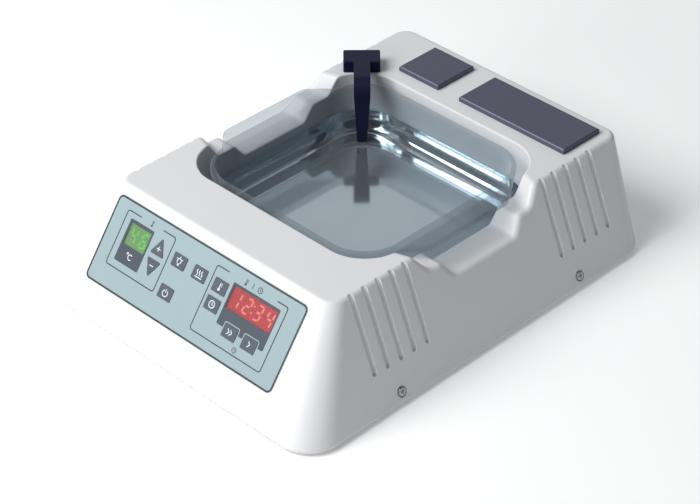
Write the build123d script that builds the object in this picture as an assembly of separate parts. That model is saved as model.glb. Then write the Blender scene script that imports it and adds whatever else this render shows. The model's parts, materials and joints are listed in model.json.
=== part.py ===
"""Heated water bath with a glass dish, a temperature probe and two drying plates.

Frame: X to the right, Y to the rear, Z up. The origin is on the bench under the middle of the housing.
All sizes are millimetres. A height is measured from the lower edge of the housing.
"""

import os
from math import hypot, sqrt

from build123d import *

# Housing
foot_drop = 2.0
base_width = 336.0
base_depth = 419.6
deck_width = 252.7
deck_front = 139.8
deck_rear = 208.1
housing_height = 97.1
wall = 3.0
base_corner = 32.0
deck_corner = 14.0
deck_round = 5.0
base_round = 3.0

# Opening over the well and the hollows at its sides
well_y = 22.5
opening_half = 110.0
opening_corner = 38.0
opening_round = 1.5
skirt_wall = 3.0
hollow_y = 24.0
upper_ledge_drop = 16.0
upper_ledge_half = 61.0
lower_ledge_drop = 30.0
lower_ledge_half = 36.0
ledge_run = 11.0
ledge_round = 6.5
hollow_flare = 0.34

# Vent grooves
groove_radius = 2.7
groove_pitch = 15.1
groove_count = 5
groove_foot = 34.5
front_groove_y = -120.0
rear_groove_y = 105.5
groove_backing = 3.0

# Well
well_floor = 41.5
well_top = 61.0
well_half = 107.0
well_corner = 38.0
well_sheet = 1.2
well_round = 12.0
well_flange = 13.0
well_bore_depth = 8.0
well_boss_radius = 4.5
well_screw_radius = 1.5
well_screw_margin = 2.5
heater_half = 84.0
heater_thickness = 2.0
insulation_thickness = 8.0
cutout_radius = 8.0
cutout_height = 7.0
cutout_tab = 5.0
tab_thickness = 0.8

# Glass dish
dish_height = 52.0
rim_half = 103.0
rim_corner = 40.0
foot_half = 98.0
foot_corner = 36.0
glass_wall = 4.5
glass_floor = 4.8
dish_round = 16.0
rim_round = 1.6
handle_half = 122.0
handle_length = 96.0
handle_root = 132.0
handle_corner = 14.0
handle_thickness = 5.0

# Temperature probe
head_width = 33.0
head_depth = 21.0
head_height = 11.5
head_reach = 36.5
head_round = 1.2
arm_width = 14.6
arm_thickness = 8.5
arm_bend = 14.0
shank_top = 13.0
shank_foot = 8.0
shank_foot_width = 8.7
shank_gap = 1.2
pin_radius = 1.0
pin_length = 9.0
pin_root = 4.0
pin_spacing = 7.0
pin_clearance = 0.05
socket_radius = 6.0
socket_lip = 1.2
socket_depth = 12.0
sensor_radius = 2.6
sensor_height = 1.6
sensor_proud = 0.5

# Drying plates
plate_front = 147.4
plate_depth = 46.8
square_plate_x = -54.3
square_plate_width = 47.0
long_plate_x = 54.4
long_plate_width = 120.0
plate_proud = 4.7
plate_lip = 4.0
plate_chamfer = 0.8
plate_heater = 1.5
strap_width = 12.0
strap_sheet = 2.0
stud_radius = 2.0
nut_radius = 4.0
nut_height = 3.2

# Control panel: u runs to the right, s runs down the slope from the edge of the deck
overlay_u = -5.3
overlay_s = 48.0
overlay_width = 223.6
overlay_height = 76.8
overlay_corner = 5.0
overlay_sheet = 1.0
overlay_proud = 0.2
panel_wall = 6.0
panel_margin = 4.0
small_window_u = -81.3
small_window_s = 41.9
small_window_width = 28.6
small_window_height = 37.2
large_window_u = 55.9
large_window_s = 42.0
large_window_width = 53.4
large_window_height = 36.2
window_corner = 1.2
window_gap = 0.1
key_width = 15.2
key_height = 11.3
key_corner = 0.8
key_proud = 0.5
key_travel = 0.6
key_gap = 0.2
key_flange = 0.8
key_flange_sheet = 1.2
key_stem_radius = 2.2
key_stem_length = 4.2
key_frame = 1.3
arrow_width = 15.2
arrow_height = 14.8
arrow_u = -55.4
plus_s = 31.6
minus_s = 50.9
pair_u = 18.0
light_u = -30.5
dryer_u = -6.2
upper_key_s = 33.5
time_key_s = 49.2
power_key_s = 61.8
fast_u = 45.7
slow_u = 68.0
speed_key_s = 61.1

# Displays and boards behind the panel
digit_height = 14.2
digit_width = 7.6
digit_stroke = 1.7
digit_slant = 0.12
digit_pitch = 12.4
segment_proud = 0.15
module_height = 8.0
module_gap = 1.2
small_module_width = 25.0
large_module_width = 50.3
module_depth = 19.0
module_rise = 6.2
module_clearance = 0.3
board_sheet = 1.6
board_margin = 9.0
board_edge = 1.0
board_post_radius = 3.5
middle_post_u = -47.1
board_screw_radius = 1.25
board_screw_length = 5.6
switch_size = 6.0
switch_body = 3.5
plunger_radius = 1.7
plunger_gap = 0.1

# Base plate, feet and screws
plate_sheet = 1.5
plate_rise = 1.0
plate_gap = 0.4
foot_radius = 11.0
foot_round = 0.6
foot_inset_x = 42.0
foot_inset_y = 48.0
foot_plug_radius = 4.0
foot_barb = 1.0
foot_barb_height = 3.0
tab_width = 18.0
tab_length = 16.0
tab_sheet = 2.0
cover_screw_height = 10.7
cover_screw_y = (-99.6, 118.4)
cover_screw_radius = 2.0
cover_screw_head = 3.8
cover_screw_recess = 5.0
cover_screw_sink = 1.6

# Mains inlet and power board
inlet_x = 96.0
inlet_height = 44.0
bezel_width = 31.0
bezel_height = 37.0
bezel_sheet = 2.0
inlet_body_width = 27.0
inlet_body_height = 33.0
inlet_body_depth = 26.0
socket_width = 24.0
socket_height = 15.5
socket_length = 17.0
socket_drop = 5.5
blade_length = 12.0
blade_root = 6.0
blade_thickness = 2.0
blade_width = 4.0
blade_spacing = 14.0
blade_drop = 1.8
drawer_width = 22.0
drawer_height = 8.0
drawer_rise = 9.8
drawer_depth = 22.0
drawer_gap = 0.25
drawer_grip = 2.0
drawer_floor = 1.2
drawer_back = 2.0
fuse_radius = 2.5
fuse_length = 20.0
fuse_cap = 5.0
fuse_cap_sheet = 0.2
fuse_spacing = 7.5
power_board_x = -18.0
power_board_y = 176.0
power_board_width = 150.0
power_board_depth = 46.0
power_board_rise = 8.0
spacer_radius = 3.2
transformer_width = 44.0
transformer_depth = 36.0
transformer_height = 34.0
transformer_limb = 5.0
transformer_margin = 14.0
core_side = 6.5
winding_gap = 0.3
winding_round = 3.0
relay_x = -22.0
relay_width = 14.0
relay_depth = 28.0
relay_height = 15.0
relay_pitch = 17.0
relay_count = 3
terminal_count = 5
terminal_pitch = 5.6
terminal_depth = 12.0
terminal_height = 11.0
terminal_margin = 20.0

# Lamp in the front of the skirt
lamp_length = 130.0
lamp_height = 7.0
lamp_level = 80.0
lamp_lip = 3.0
lamp_sheet = 1.5
lamp_board_gap = 4.0
led_pitch = 16.0
led_length = 3.5
led_width = 2.8
led_height = 1.6

# Worked-out places
deck_z = foot_drop + housing_height
floor_z = foot_drop + well_floor
side_run = (base_width - deck_width) / 2
front_run = base_depth / 2 - deck_front
rear_run = base_depth / 2 - deck_rear
side_stretch = hypot(housing_height, side_run) / housing_height
front_stretch = hypot(housing_height, front_run) / housing_height
rear_stretch = hypot(housing_height, rear_run) / housing_height
overlay_back = overlay_proud - overlay_sheet
corner_step = (1 - 1 / sqrt(2))

front_panel = Plane(
    origin=(0, -deck_front, deck_z),
    x_dir=(1, 0, 0),
    z_dir=(0, -housing_height, front_run),
)
rear_panel = Plane(
    origin=(inlet_x, base_depth / 2 - rear_run * inlet_height / housing_height, foot_drop + inlet_height),
    x_dir=(-1, 0, 0),
    z_dir=(0, housing_height, rear_run),
)


def half_width(height):
    """Half the width of the sharp housing at a height."""
    return base_width / 2 - side_run * height / housing_height


def side_panel(side, y, height):
    """Plane on a side wall, with its normal outward and its Y axis up the slope."""
    return Plane(
        origin=(side * half_width(height), y, foot_drop + height),
        x_dir=(0, side, 0),
        z_dir=(side * housing_height, 0, side_run),
    )


def outline(height, inset=0.0):
    """Rounded outline of the housing at a height, moved inward by a wall."""
    share = height / housing_height
    half = half_width(height) - inset * side_stretch
    front = -base_depth / 2 + front_run * share + inset * front_stretch
    rear = base_depth / 2 - rear_run * share - inset * rear_stretch
    corner = base_corner + (deck_corner - base_corner) * share - inset
    return Pos(0, (front + rear) / 2, foot_drop + height) * RectangleRounded(2 * half, rear - front, corner)


def hull(bottom, top, inset=0.0):
    """Solid of the housing's shape between two heights."""
    return loft([outline(bottom, inset), outline(top, inset)], ruled=True)


def prism(half_x, half_y, corner, z0, z1):
    """Upright rounded block, centred on the well."""
    return Pos(0, well_y, z0) * extrude(RectangleRounded(2 * half_x, 2 * half_y, corner), z1 - z0)


def on_panel(u, s, level=0.0):
    """Place on the control panel, at a level above its surface."""
    return front_panel * Pos(u, -s, level)


def both_sides(solid):
    """The solid and its mirror image across the middle of the housing."""
    return [solid, mirror(solid, about=Plane.YZ)]


def hollow_profile(x, grow=0.0):
    """Two-step hollow at a side of the opening, seen from the side, at a distance from the middle."""
    flare = hollow_flare * (half_width(housing_height) - x)
    upper = upper_ledge_half + flare
    lower = lower_ledge_half
    upper_z = deck_z - upper_ledge_drop
    lower_z = deck_z - lower_ledge_drop
    lead = ledge_round
    right = [
        (lower, lower_z),
        (lower + ledge_run, upper_z),
        (upper, upper_z),
        (upper + ledge_run, deck_z),
    ]
    left = [(-y, z) for y, z in reversed(right)]
    steps = left + right
    ends = [(upper + ledge_run + lead, deck_z), (upper + ledge_run + lead, deck_z + 4 * wall)]
    points = [(-y, z) for y, z in reversed(ends)] + steps + ends
    face = Plane.YZ.offset(x) * (Pos(hollow_y, 0) * make_face(Polyline(*points, close=True)))
    inner = [v for v in face.vertices() if abs(v.Y - hollow_y) < upper + ledge_run + lead / 2]
    face = fillet(inner, ledge_round)
    return offset(face, amount=grow) if grow else face


def hollows(grow=0.0):
    """Both side hollows as solids to cut."""
    inner = opening_half - 4 * wall
    outer = half_width(housing_height - lower_ledge_drop) + 2 * wall
    return both_sides(loft([hollow_profile(inner, grow), hollow_profile(outer, grow)], ruled=True))


def groove_places():
    """Side and Y of every vent groove."""
    steps = [i * groove_pitch for i in range(groove_count)]
    rows = [start + step for start in (front_groove_y, rear_groove_y) for step in steps]
    return [(side, y) for side in (-1, 1) for y in rows]


def groove(side, y):
    """Round-bottomed channel that runs up a side wall and out through the edge of the deck."""
    run = (housing_height - groove_foot) * side_stretch + 3 * deck_round
    place = side_panel(side, y, groove_foot)
    channel = place * (Rot(-90, 0, 0) * extrude(Circle(groove_radius), run))
    return channel + place * Sphere(groove_radius)


def groove_backings():
    """Thicker wall inside each group of grooves."""
    blocks = []
    depth = wall + groove_backing
    length = groove_count * groove_pitch
    middle = (groove_count - 1) * groove_pitch / 2
    rise = (housing_height - groove_foot) * side_stretch + 4 * groove_radius
    for side in (-1, 1):
        for start in (front_groove_y, rear_groove_y):
            place = side_panel(side, start + middle, groove_foot)
            block = Pos(0, rise / 2 - 2 * groove_radius, -depth / 2) * Box(length, rise, depth)
            blocks.append(place * block)
    return blocks


def keys():
    """Name, outline and place of every key."""
    cap = RectangleRounded(key_width, key_height, key_corner)
    arrow = Polygon((-arrow_width / 2, 0), (arrow_width / 2, 0), (0, arrow_height), align=None)
    up = Pos(0, -arrow_height / 2) * fillet(arrow.vertices(), key_corner)
    down = Rot(0, 0, 180) * up
    return {
        "key_plus": (up, arrow_u, plus_s),
        "key_minus": (down, arrow_u, minus_s),
        "key_light": (cap, light_u, upper_key_s),
        "key_dryer": (cap, dryer_u, upper_key_s),
        "key_power": (cap, light_u, power_key_s),
        "key_temp": (cap, pair_u, upper_key_s),
        "key_time": (cap, pair_u, time_key_s),
        "key_fast": (cap, fast_u, speed_key_s),
        "key_slow": (cap, slow_u, speed_key_s),
    }


def small_window_outline():
    """Outline of the set temperature window."""
    return Pos(small_window_u, -small_window_s) * RectangleRounded(
        small_window_width, small_window_height, window_corner
    )


def large_window_outline():
    """Outline of the time window, notched round the two speed keys."""
    pane = Pos(large_window_u, -large_window_s) * RectangleRounded(
        large_window_width, large_window_height, window_corner
    )
    frame = RectangleRounded(key_width + 2 * key_frame, key_height + 2 * key_frame, key_corner + key_frame)
    for u in (fast_u, slow_u):
        pane -= Pos(u, -speed_key_s) * frame
    return pane


def panel_sketch(sketch, level, thickness):
    """Slab with a panel outline, from a level downward."""
    return front_panel * Pos(0, 0, level - thickness) * extrude(sketch, thickness)


def board_posts():
    """Places of the control board's posts, behind the panel."""
    u = overlay_width / 2 - board_margin
    s = overlay_height / 2 - board_margin
    corners = [(overlay_u + i * u, overlay_s + j * s) for i in (-1, 1) for j in (-1, 1)]
    return corners + [(middle_post_u, overlay_s + s)]


def well_screw_places():
    """Places of the screws through the flange of the well."""
    line = opening_half + skirt_wall + well_screw_margin
    reach = opening_half / 2
    front_back = [(i * reach, j * line) for i in (-1, 1) for j in (-1, 1)]
    sides = [(i * line, j * reach) for i in (-1, 1) for j in (-1, 1)]
    return [(x, y + well_y) for x, y in front_back + sides]


def corner_frame():
    """Plane on the deck at the probe's corner, with X toward the middle of the dish."""
    reach = opening_half - opening_corner * corner_step
    origin = (-reach, well_y + reach, deck_z)
    return Plane(origin=origin, x_dir=(1, -1, 0), z_dir=(0, 0, 1))


def plug_place():
    """Place of the probe's plug on the deck, clear of the skirt."""
    return corner_frame() * Pos(-(skirt_wall + plate_gap + socket_lip + socket_radius), 0)


def make_housing_cover():
    """Moulded housing: deck, sloping walls, side hollows, grooves, skirt and panel recess."""
    body = hull(0, housing_height)
    for hollow in hollows():
        body -= hollow
    body = fillet(rim_edges(body), deck_round)
    lower = body.edges().group_by(Axis.Z)[0]
    body = fillet(lower, base_round)

    cavity = hull(-wall, housing_height - wall, wall)
    skirt_half = opening_half + skirt_wall
    skirt_corner = opening_corner + skirt_wall
    cavity -= prism(skirt_half, skirt_half, skirt_corner, foot_drop + well_top, deck_z)
    for hollow in hollows(wall):
        cavity -= hollow
    for block in groove_backings():
        cavity -= block
    cavity -= panel_sketch(overlay_outline(panel_margin), 0, panel_wall)
    for u, s in board_posts():
        cavity -= on_panel(u, s, board_level()) * extrude(Circle(board_post_radius), -board_level())
    boss = extrude(Circle(well_boss_radius), well_bore_depth + wall)
    for x, y in well_screw_places():
        cavity -= Pos(x, y, foot_drop + well_top) * boss
    for side in (-1, 1):
        for y in cover_screw_y:
            cavity -= screw_pad(side, y)
    cavity -= plug_place() * extrude(Circle(socket_radius + wall), -socket_depth)
    body -= cavity

    body -= prism(opening_half, opening_half, opening_corner, 0, deck_z + wall)
    body -= well_recess()
    body = soften_opening(body)
    for side, y in groove_places():
        body -= groove(side, y)
    body -= panel_cuts()
    body -= deck_cuts()
    body -= screw_cuts()
    body -= lamp_cut()
    body -= rear_panel * Box(inlet_body_width + key_gap, inlet_body_height + key_gap, 6 * wall)
    return body


def rim_edges(body):
    """Upper outer edges of the housing, along the deck and over the side hollows."""
    chosen = []
    for edge in body.edges():
        ends = [edge @ 0, edge @ 0.5, edge @ 1]
        if min(p.Z for p in ends) < deck_z - lower_ledge_drop - 1:
            continue
        if all(on_skin(p) for p in ends):
            chosen.append(edge)
    return chosen


def on_skin(p, slack=0.05):
    """Whether a point lies on the sharp outer walls of the housing."""
    height = p.Z - foot_drop
    share = height / housing_height
    half = half_width(height)
    front = -base_depth / 2 + front_run * share
    rear = base_depth / 2 - rear_run * share
    corner = base_corner + (deck_corner - base_corner) * share
    dx = abs(p.X) - (half - corner)
    dy = max(front + corner - p.Y, p.Y - (rear - corner))
    if dx > 0 and dy > 0:
        return abs(hypot(dx, dy) - corner) < slack
    return abs(dx - corner) < slack or abs(dy - corner) < slack


def screw_pad(side, y, grow=0.0):
    """Thicker round of the side wall behind a cover screw."""
    place = side_panel(side, y, cover_screw_height)
    return place * extrude(Circle(cover_screw_recess + wall + grow), -wall - cover_screw_sink)


def soften_opening(body):
    """Round the upper edge of the opening, over the deck and the ledges."""
    chosen = []
    for edge in body.edges():
        points = [edge @ 0, edge @ 0.5, edge @ 1]
        if min(p.Z for p in points) < deck_z - lower_ledge_drop - 1:
            continue
        if all(on_opening(p) for p in points):
            chosen.append(edge)
    return fillet(chosen, opening_round)


def on_opening(p, slack=0.05):
    """Whether a point lies on the wall of the opening."""
    straight = opening_half - opening_corner
    dx = abs(p.X) - straight
    dy = abs(p.Y - well_y) - straight
    if dx > 0 and dy > 0:
        return abs(hypot(dx, dy) - opening_corner) < slack
    return abs(dx - opening_corner) < slack or abs(dy - opening_corner) < slack


def overlay_outline(margin=0.0):
    """Outline of the control overlay."""
    return Pos(overlay_u, -overlay_s) * RectangleRounded(
        overlay_width + 2 * margin, overlay_height + 2 * margin, overlay_corner + margin
    )


def well_recess():
    """Room under the skirt for the flange of the well."""
    half = well_half + well_flange + plate_gap
    top = foot_drop + well_top
    return prism(half, half, well_corner + well_flange, top - 3 * well_sheet, top)


def key_pocket(shape, u, s):
    """Pocket for a key's flange and the bore for its stem."""
    pocket = offset(shape, amount=key_flange + key_gap)
    depth = key_flange_sheet + key_travel + key_gap
    cut = on_panel(u, s, overlay_back - depth) * extrude(pocket, depth)
    return cut + on_panel(u, s, -panel_wall / 2) * Cylinder(key_stem_radius + key_gap, panel_wall)


def module_places():
    """Width and place of each display module."""
    return {
        "temp_display": (small_module_width, small_window_u, small_window_s - module_rise),
        "time_display": (large_module_width, large_window_u, large_window_s - module_rise),
    }


def panel_cuts():
    """Recess for the overlay, key pockets, display openings and board screw bores."""
    cuts = [panel_sketch(overlay_outline(key_gap), wall, wall - overlay_back)]
    cuts += [key_pocket(*key) for key in keys().values()]
    gap = 2 * module_clearance
    for width, u, s in module_places().values():
        hole = Box(width + gap, module_depth + gap, panel_wall + gap)
        cuts.append(on_panel(u, s, -panel_wall / 2) * hole)
    for u, s in board_posts():
        cuts.append(on_panel(u, s, board_level()) * extrude(Circle(board_screw_radius), board_screw_length))
    return sum_solids(cuts)


def sum_solids(solids):
    """One shape from a list of solids."""
    total = solids[0]
    for solid in solids[1:]:
        total += solid
    return total


def deck_plates():
    """Width and middle of each drying plate."""
    return {
        "square": (square_plate_width, square_plate_x),
        "long": (long_plate_width, long_plate_x),
    }


def deck_cuts():
    """Openings under the drying plates and the bore of the probe socket."""
    cuts = []
    for width, x in deck_plates().values():
        place = Pos(x, plate_front + plate_depth / 2, deck_z - wall)
        cuts.append(place * Box(width - 2 * plate_lip, plate_depth - 2 * plate_lip, 4 * wall))
    cuts.append(plug_place() * Pos(0, 0, -socket_depth / 2) * Cylinder(socket_radius, 2 * socket_depth))
    return sum_solids(cuts)


def screw_cuts():
    """Recesses and bores of the side screws, and bores in the bosses of the well."""
    cuts = []
    for side in (-1, 1):
        for y in cover_screw_y:
            place = side_panel(side, y, cover_screw_height)
            sink = place * Pos(0, 0, wall / 2 - cover_screw_sink) * Cylinder(cover_screw_recess, wall)
            cuts.append(sink + place * Cylinder(cover_screw_radius + key_gap, 8 * wall))
    for x, y in well_screw_places():
        bore = Cylinder(well_screw_radius, 2 * well_bore_depth)
        cuts.append(Pos(x, y, foot_drop + well_top) * bore)
    return sum_solids(cuts)


def lamp_cut():
    """Slot for the lamp window in the front of the skirt."""
    y = well_y - opening_half - skirt_wall / 2
    return Pos(0, y, foot_drop + lamp_level) * Box(lamp_length, 2 * skirt_wall, lamp_height)


def make_base_plate():
    """Sheet base inside the housing's lower edge, with a tab bent up behind each side screw."""
    low = foot_drop + plate_rise
    inset = wall + plate_gap
    plate = loft([outline(plate_rise, inset), outline(plate_rise + plate_sheet, inset)], ruled=True)
    for side in (-1, 1):
        for y in cover_screw_y:
            place = side_panel(side, y, cover_screw_height)
            reach = cover_screw_height * side_stretch
            level = -wall - cover_screw_sink - tab_sheet / 2
            tab = Pos(0, (tab_length - reach) / 2, level) * Box(tab_width, tab_length + reach, tab_sheet)
            plate -= screw_pad(side, y, plate_gap)
            plate += place * tab - Pos(0, 0, low - wall) * Box(base_width, base_depth, 2 * wall)
            plate -= place * Cylinder(cover_screw_radius, 8 * wall)
    for x, y in foot_places():
        plate -= Pos(x, y, low) * Cylinder(foot_plug_radius, 4 * plate_sheet)
    for x, y in spacer_places():
        plate -= Pos(x, y, low) * Cylinder(board_screw_radius, 4 * plate_sheet)
    return plate


def foot_places():
    """Places of the four feet."""
    x = base_width / 2 - foot_inset_x
    y = base_depth / 2 - foot_inset_y
    return [(i * x, j * y) for i in (-1, 1) for j in (-1, 1)]


def make_feet():
    """Rubber feet, each pushed through the base plate."""
    low = foot_drop + plate_rise
    feet = []
    for x, y in foot_places():
        pad = Pos(0, 0, low / 2) * Cylinder(foot_radius, low)
        pad = fillet(pad.edges().group_by(Axis.Z)[0], foot_round)
        plug = Pos(0, 0, low + plate_sheet / 2) * Cylinder(foot_plug_radius, plate_sheet)
        barb = Cone(foot_plug_radius + foot_barb, foot_plug_radius - foot_barb, foot_barb_height)
        barb = Pos(0, 0, low + plate_sheet + foot_barb_height / 2) * barb
        feet.append(Pos(x, y) * (pad + plug + barb))
    return Compound(feet)


def pan_head_screw(radius, head, length):
    """Cross-head screw with its seat at the origin and its shank down the Z axis."""
    cap = Pos(0, 0, radius * 0.6) * Cylinder(head, radius * 1.2)
    cap = fillet(cap.edges().group_by(Axis.Z)[-1], radius * 0.45)
    shank = Pos(0, 0, -length / 2) * Cylinder(radius, length)
    cross = Box(head * 1.1, radius * 0.36, radius) + Box(radius * 0.36, head * 1.1, radius)
    return cap + shank - Pos(0, 0, radius * 1.2) * cross


def make_cover_screws():
    """Screws in the side walls that hold the housing on the base plate."""
    screws = []
    length = wall + tab_sheet + 2.0
    for side in (-1, 1):
        for y in cover_screw_y:
            seat = side_panel(side, y, cover_screw_height) * Pos(0, 0, -cover_screw_sink)
            screws.append(seat * pan_head_screw(cover_screw_radius, cover_screw_head, length))
    return Compound(screws)


def make_bath_well():
    """Polished sheet metal well with a flange under the skirt."""
    top = foot_drop + well_top
    outer = well_half + well_sheet
    shell = prism(outer, outer, well_corner + well_sheet, floor_z - well_sheet, top)
    shell = fillet(shell.edges().group_by(Axis.Z)[0], well_round + well_sheet)
    reach = well_half + well_flange
    shell += prism(reach, reach, well_corner + well_flange, top - well_sheet, top)
    inside = prism(well_half, well_half, well_corner, floor_z, top + wall)
    shell -= fillet(inside.edges().group_by(Axis.Z)[0], well_round)
    for x, y in well_screw_places():
        shell -= Pos(x, y, top) * Cylinder(well_screw_radius + key_gap, 4 * well_sheet)
    return shell


def make_well_screws():
    """Screws from below through the flange of the well into the bosses of the housing."""
    screws = []
    length = well_bore_depth - 1.0
    for x, y in well_screw_places():
        seat = Pos(x, y, foot_drop + well_top - well_sheet) * Rot(180, 0, 0)
        screws.append(seat * pan_head_screw(well_screw_radius, 2 * well_screw_radius, length))
    return Compound(screws)


def make_bath_heater():
    """Silicone heater mat bonded under the floor of the well."""
    top = floor_z - well_sheet
    return prism(heater_half, heater_half, well_corner / 2, top - heater_thickness, top)


def make_insulation_pad():
    """Felt pad under the heater mat, with a hole for the thermal cut-out."""
    top = floor_z - well_sheet - heater_thickness
    pad = prism(heater_half, heater_half, well_corner / 2, top - insulation_thickness, top)
    return pad - Pos(0, well_y, top) * Cylinder(cutout_radius + 1, 4 * insulation_thickness)


def make_thermal_cutout():
    """Disc thermostat on the underside of the heater mat."""
    top = floor_z - well_sheet - heater_thickness
    can = Pos(0, well_y, top - cutout_height / 2) * Cylinder(cutout_radius, cutout_height)
    for i in (-1, 1):
        place = Pos(i * cutout_radius / 2, well_y, top - cutout_height - cutout_tab / 2)
        can += place * Box(tab_thickness, cutout_tab, cutout_tab)
    return can


def make_lamp_window():
    """Frosted bar in the front of the skirt, with end posts that carry the lamp board."""
    y = well_y - opening_half - skirt_wall
    z = foot_drop + lamp_level
    tall = lamp_height + 2 * lamp_lip
    bar = Box(lamp_length - 2 * key_gap, skirt_wall, lamp_height - 2 * key_gap)
    window = Pos(0, y + skirt_wall / 2, z) * bar
    window += Pos(0, y - lamp_sheet / 2, z) * Box(lamp_length + 2 * lamp_lip, lamp_sheet, tall)
    reach = lamp_sheet + lamp_board_gap
    for i in (-1, 1):
        x = i * (lamp_length / 2 + lamp_lip / 2)
        window += Pos(x, y - reach / 2, z) * Box(lamp_lip, reach, tall)
    return window


def make_lamp_board():
    """Narrow board with a row of lamps behind the window."""
    y = well_y - opening_half - skirt_wall - lamp_sheet - lamp_board_gap
    z = foot_drop + lamp_level
    sheet = Box(lamp_length + 2 * lamp_lip, board_sheet, lamp_height + 2 * lamp_lip)
    board = Pos(0, y - board_sheet / 2, z) * sheet
    count = int(lamp_length / led_pitch)
    for i in range(count):
        x = (i - (count - 1) / 2) * led_pitch
        board += Pos(x, y + led_height / 2, z) * Box(led_length, led_height, led_width)
    return board


def handle_outline():
    """Outline of the rim with its two side handles."""
    root = handle_root / 2
    tip = handle_length / 2
    half = handle_half
    bevel = root - tip
    inner = half - bevel
    wings = [(inner, root), (half, tip), (half, -tip), (inner, -root)]
    wings += [(-x, y) for x, y in reversed(wings)]
    plate = make_face(Polyline(*wings, close=True))
    corners = [v for v in plate.vertices() if abs(abs(v.X) - half) < 0.01]
    plate = fillet(corners, handle_corner)
    rim = RectangleRounded(2 * rim_half, 2 * rim_half, rim_corner)
    return rim + plate


def dish_section(share, inset=0.0):
    """Outline of the dish at its foot or its rim, inset by a wall from its floor up."""
    half = foot_half + (rim_half - foot_half) * share - inset
    corner = foot_corner + (rim_corner - foot_corner) * share - inset
    low = glass_floor if inset else 0.0
    return Pos(0, 0, low + (dish_height - low) * share) * RectangleRounded(2 * half, 2 * half, corner)


def make_glass_dish():
    """Pressed glass dish with drafted walls, a rounded bottom edge and two side handles."""
    outside = loft([dish_section(0), dish_section(1)], ruled=True)
    outside = fillet(outside.edges().group_by(Axis.Z)[0], dish_round)
    plate = Pos(0, 0, dish_height - handle_thickness) * extrude(handle_outline(), handle_thickness)
    body = outside + plate
    inside = loft([dish_section(0, glass_wall), dish_section(1, glass_wall)], ruled=True)
    inside = fillet(inside.edges().group_by(Axis.Z)[0], dish_round - glass_wall)
    body -= inside
    body = fillet(body.edges().group_by(Axis.Z)[-1], rim_round)
    return Pos(0, well_y, floor_z) * body


def probe_plane():
    """Upright plane through the middle of the probe, X toward the middle of the dish, Y up."""
    corner = corner_frame()
    return Plane(origin=corner.origin, x_dir=corner.x_dir, z_dir=(-1, -1, 0))


def make_probe_arm():
    """Moulded arm: a head on the deck, a bend over the rim and a tapered shank into the dish."""
    top = head_height
    under = top - arm_thickness
    front = head_reach
    foot = floor_z + glass_floor + shank_gap - deck_z
    side = Polyline(
        (-arm_thickness / 2, under),
        (front - shank_top, under),
        (front - shank_foot, foot),
        (front, foot),
        (front, top),
        (-arm_thickness / 2, top),
        close=True,
    )
    profile = make_face(side)
    outer = [v for v in profile.vertices() if v.X > front - 0.01 and v.Y > top - 0.01]
    profile = fillet(outer, arm_bend)
    inner = [v for v in profile.vertices() if abs(v.X - front + shank_top) < 0.01]
    profile = fillet(inner, arm_bend - arm_thickness)
    arm = extrude(probe_plane() * profile, arm_width / 2, both=True)
    arm = arm & shank_sides(foot, top)
    head = Box(head_depth, head_width, head_height)
    head = corner_frame() * Pos(-head_depth / 2, 0, head_height / 2) * head
    arm += fillet(head.edges(), head_round)
    for pin in probe_pins():
        arm -= pin
    return arm - make_probe_sensor()


def shank_sides(foot, top):
    """Block with the arm's outline from the front: straight over the rim, tapered in the dish."""
    half = arm_width / 2
    tip = shank_foot_width / 2
    shoulder = top - arm_bend
    points = [(-tip, foot), (tip, foot), (half, shoulder), (half, top), (-half, top), (-half, shoulder)]
    corner = corner_frame()
    across = Plane(origin=corner.origin, x_dir=(1, 1, 0), z_dir=corner.x_dir)
    return extrude(across * make_face(Polyline(*points, close=True)), 2 * head_reach, both=True)


def probe_pins(clearance=0.0):
    """Solids of the two plug pins, rooted in the head of the probe."""
    pin = Pos(0, 0, (pin_root - pin_length) / 2) * Cylinder(pin_radius + clearance, pin_length + pin_root)
    return [plug_place() * Pos(0, i * pin_spacing / 2) * pin for i in (-1, 1)]


def make_probe_pins():
    """Two plug pins under the head of the probe."""
    return Compound(probe_pins())


def make_probe_sensor():
    """Metal sensor button in the lower end of the shank."""
    foot = floor_z + glass_floor + shank_gap - deck_z
    place = corner_frame() * Pos(head_reach - shank_foot / 2, 0, foot + sensor_height / 2 - sensor_proud)
    return place * Cylinder(sensor_radius, sensor_height)


def make_probe_socket():
    """Socket for the probe's plug pins, flush with the deck."""
    body = extrude(Circle(socket_radius), -socket_depth)
    collar = Pos(0, 0, -socket_depth) * extrude(Circle(socket_radius + socket_lip), -socket_lip)
    socket = plug_place() * (body + collar)
    for pin in probe_pins(pin_clearance):
        socket -= pin
    return socket


def make_drying_plate(width, x):
    """Anodised plate that rests on the deck, with a step down through the opening and two studs."""
    y = plate_front + plate_depth / 2
    slab = Pos(0, 0, plate_proud / 2) * Box(width, plate_depth, plate_proud)
    slab = chamfer(slab.edges().group_by(Axis.Z)[-1], plate_chamfer)
    inset = 2 * plate_lip + 2 * plate_gap
    step = Pos(0, 0, -wall / 2) * Box(width - inset, plate_depth - inset, wall)
    plate = slab + step
    for i in (-1, 1):
        plate += Pos(i * stud_offset(width), 0, -wall) * extrude(Circle(stud_radius), -stud_length())
    return Pos(x, y, deck_z) * plate


def stud_offset(width):
    """Distance of a plate's studs from its middle."""
    return width / 2 - 2 * plate_lip - 2 * stud_radius


def stud_length():
    """Length of a plate's studs below its step."""
    return plate_heater + strap_sheet + nut_height + stud_radius


def make_plate_heater(width, x):
    """Flat heater under a drying plate, pierced for the studs."""
    y = plate_front + plate_depth / 2
    inset = 2 * plate_lip + 4 * plate_gap
    mat = Pos(0, 0, -wall - plate_heater / 2) * Box(width - inset, plate_depth - inset, plate_heater)
    for i in (-1, 1):
        mat -= Pos(i * stud_offset(width), 0, -wall) * Cylinder(stud_radius + plate_gap, 4 * plate_heater)
    return Pos(x, y, deck_z) * mat


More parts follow.
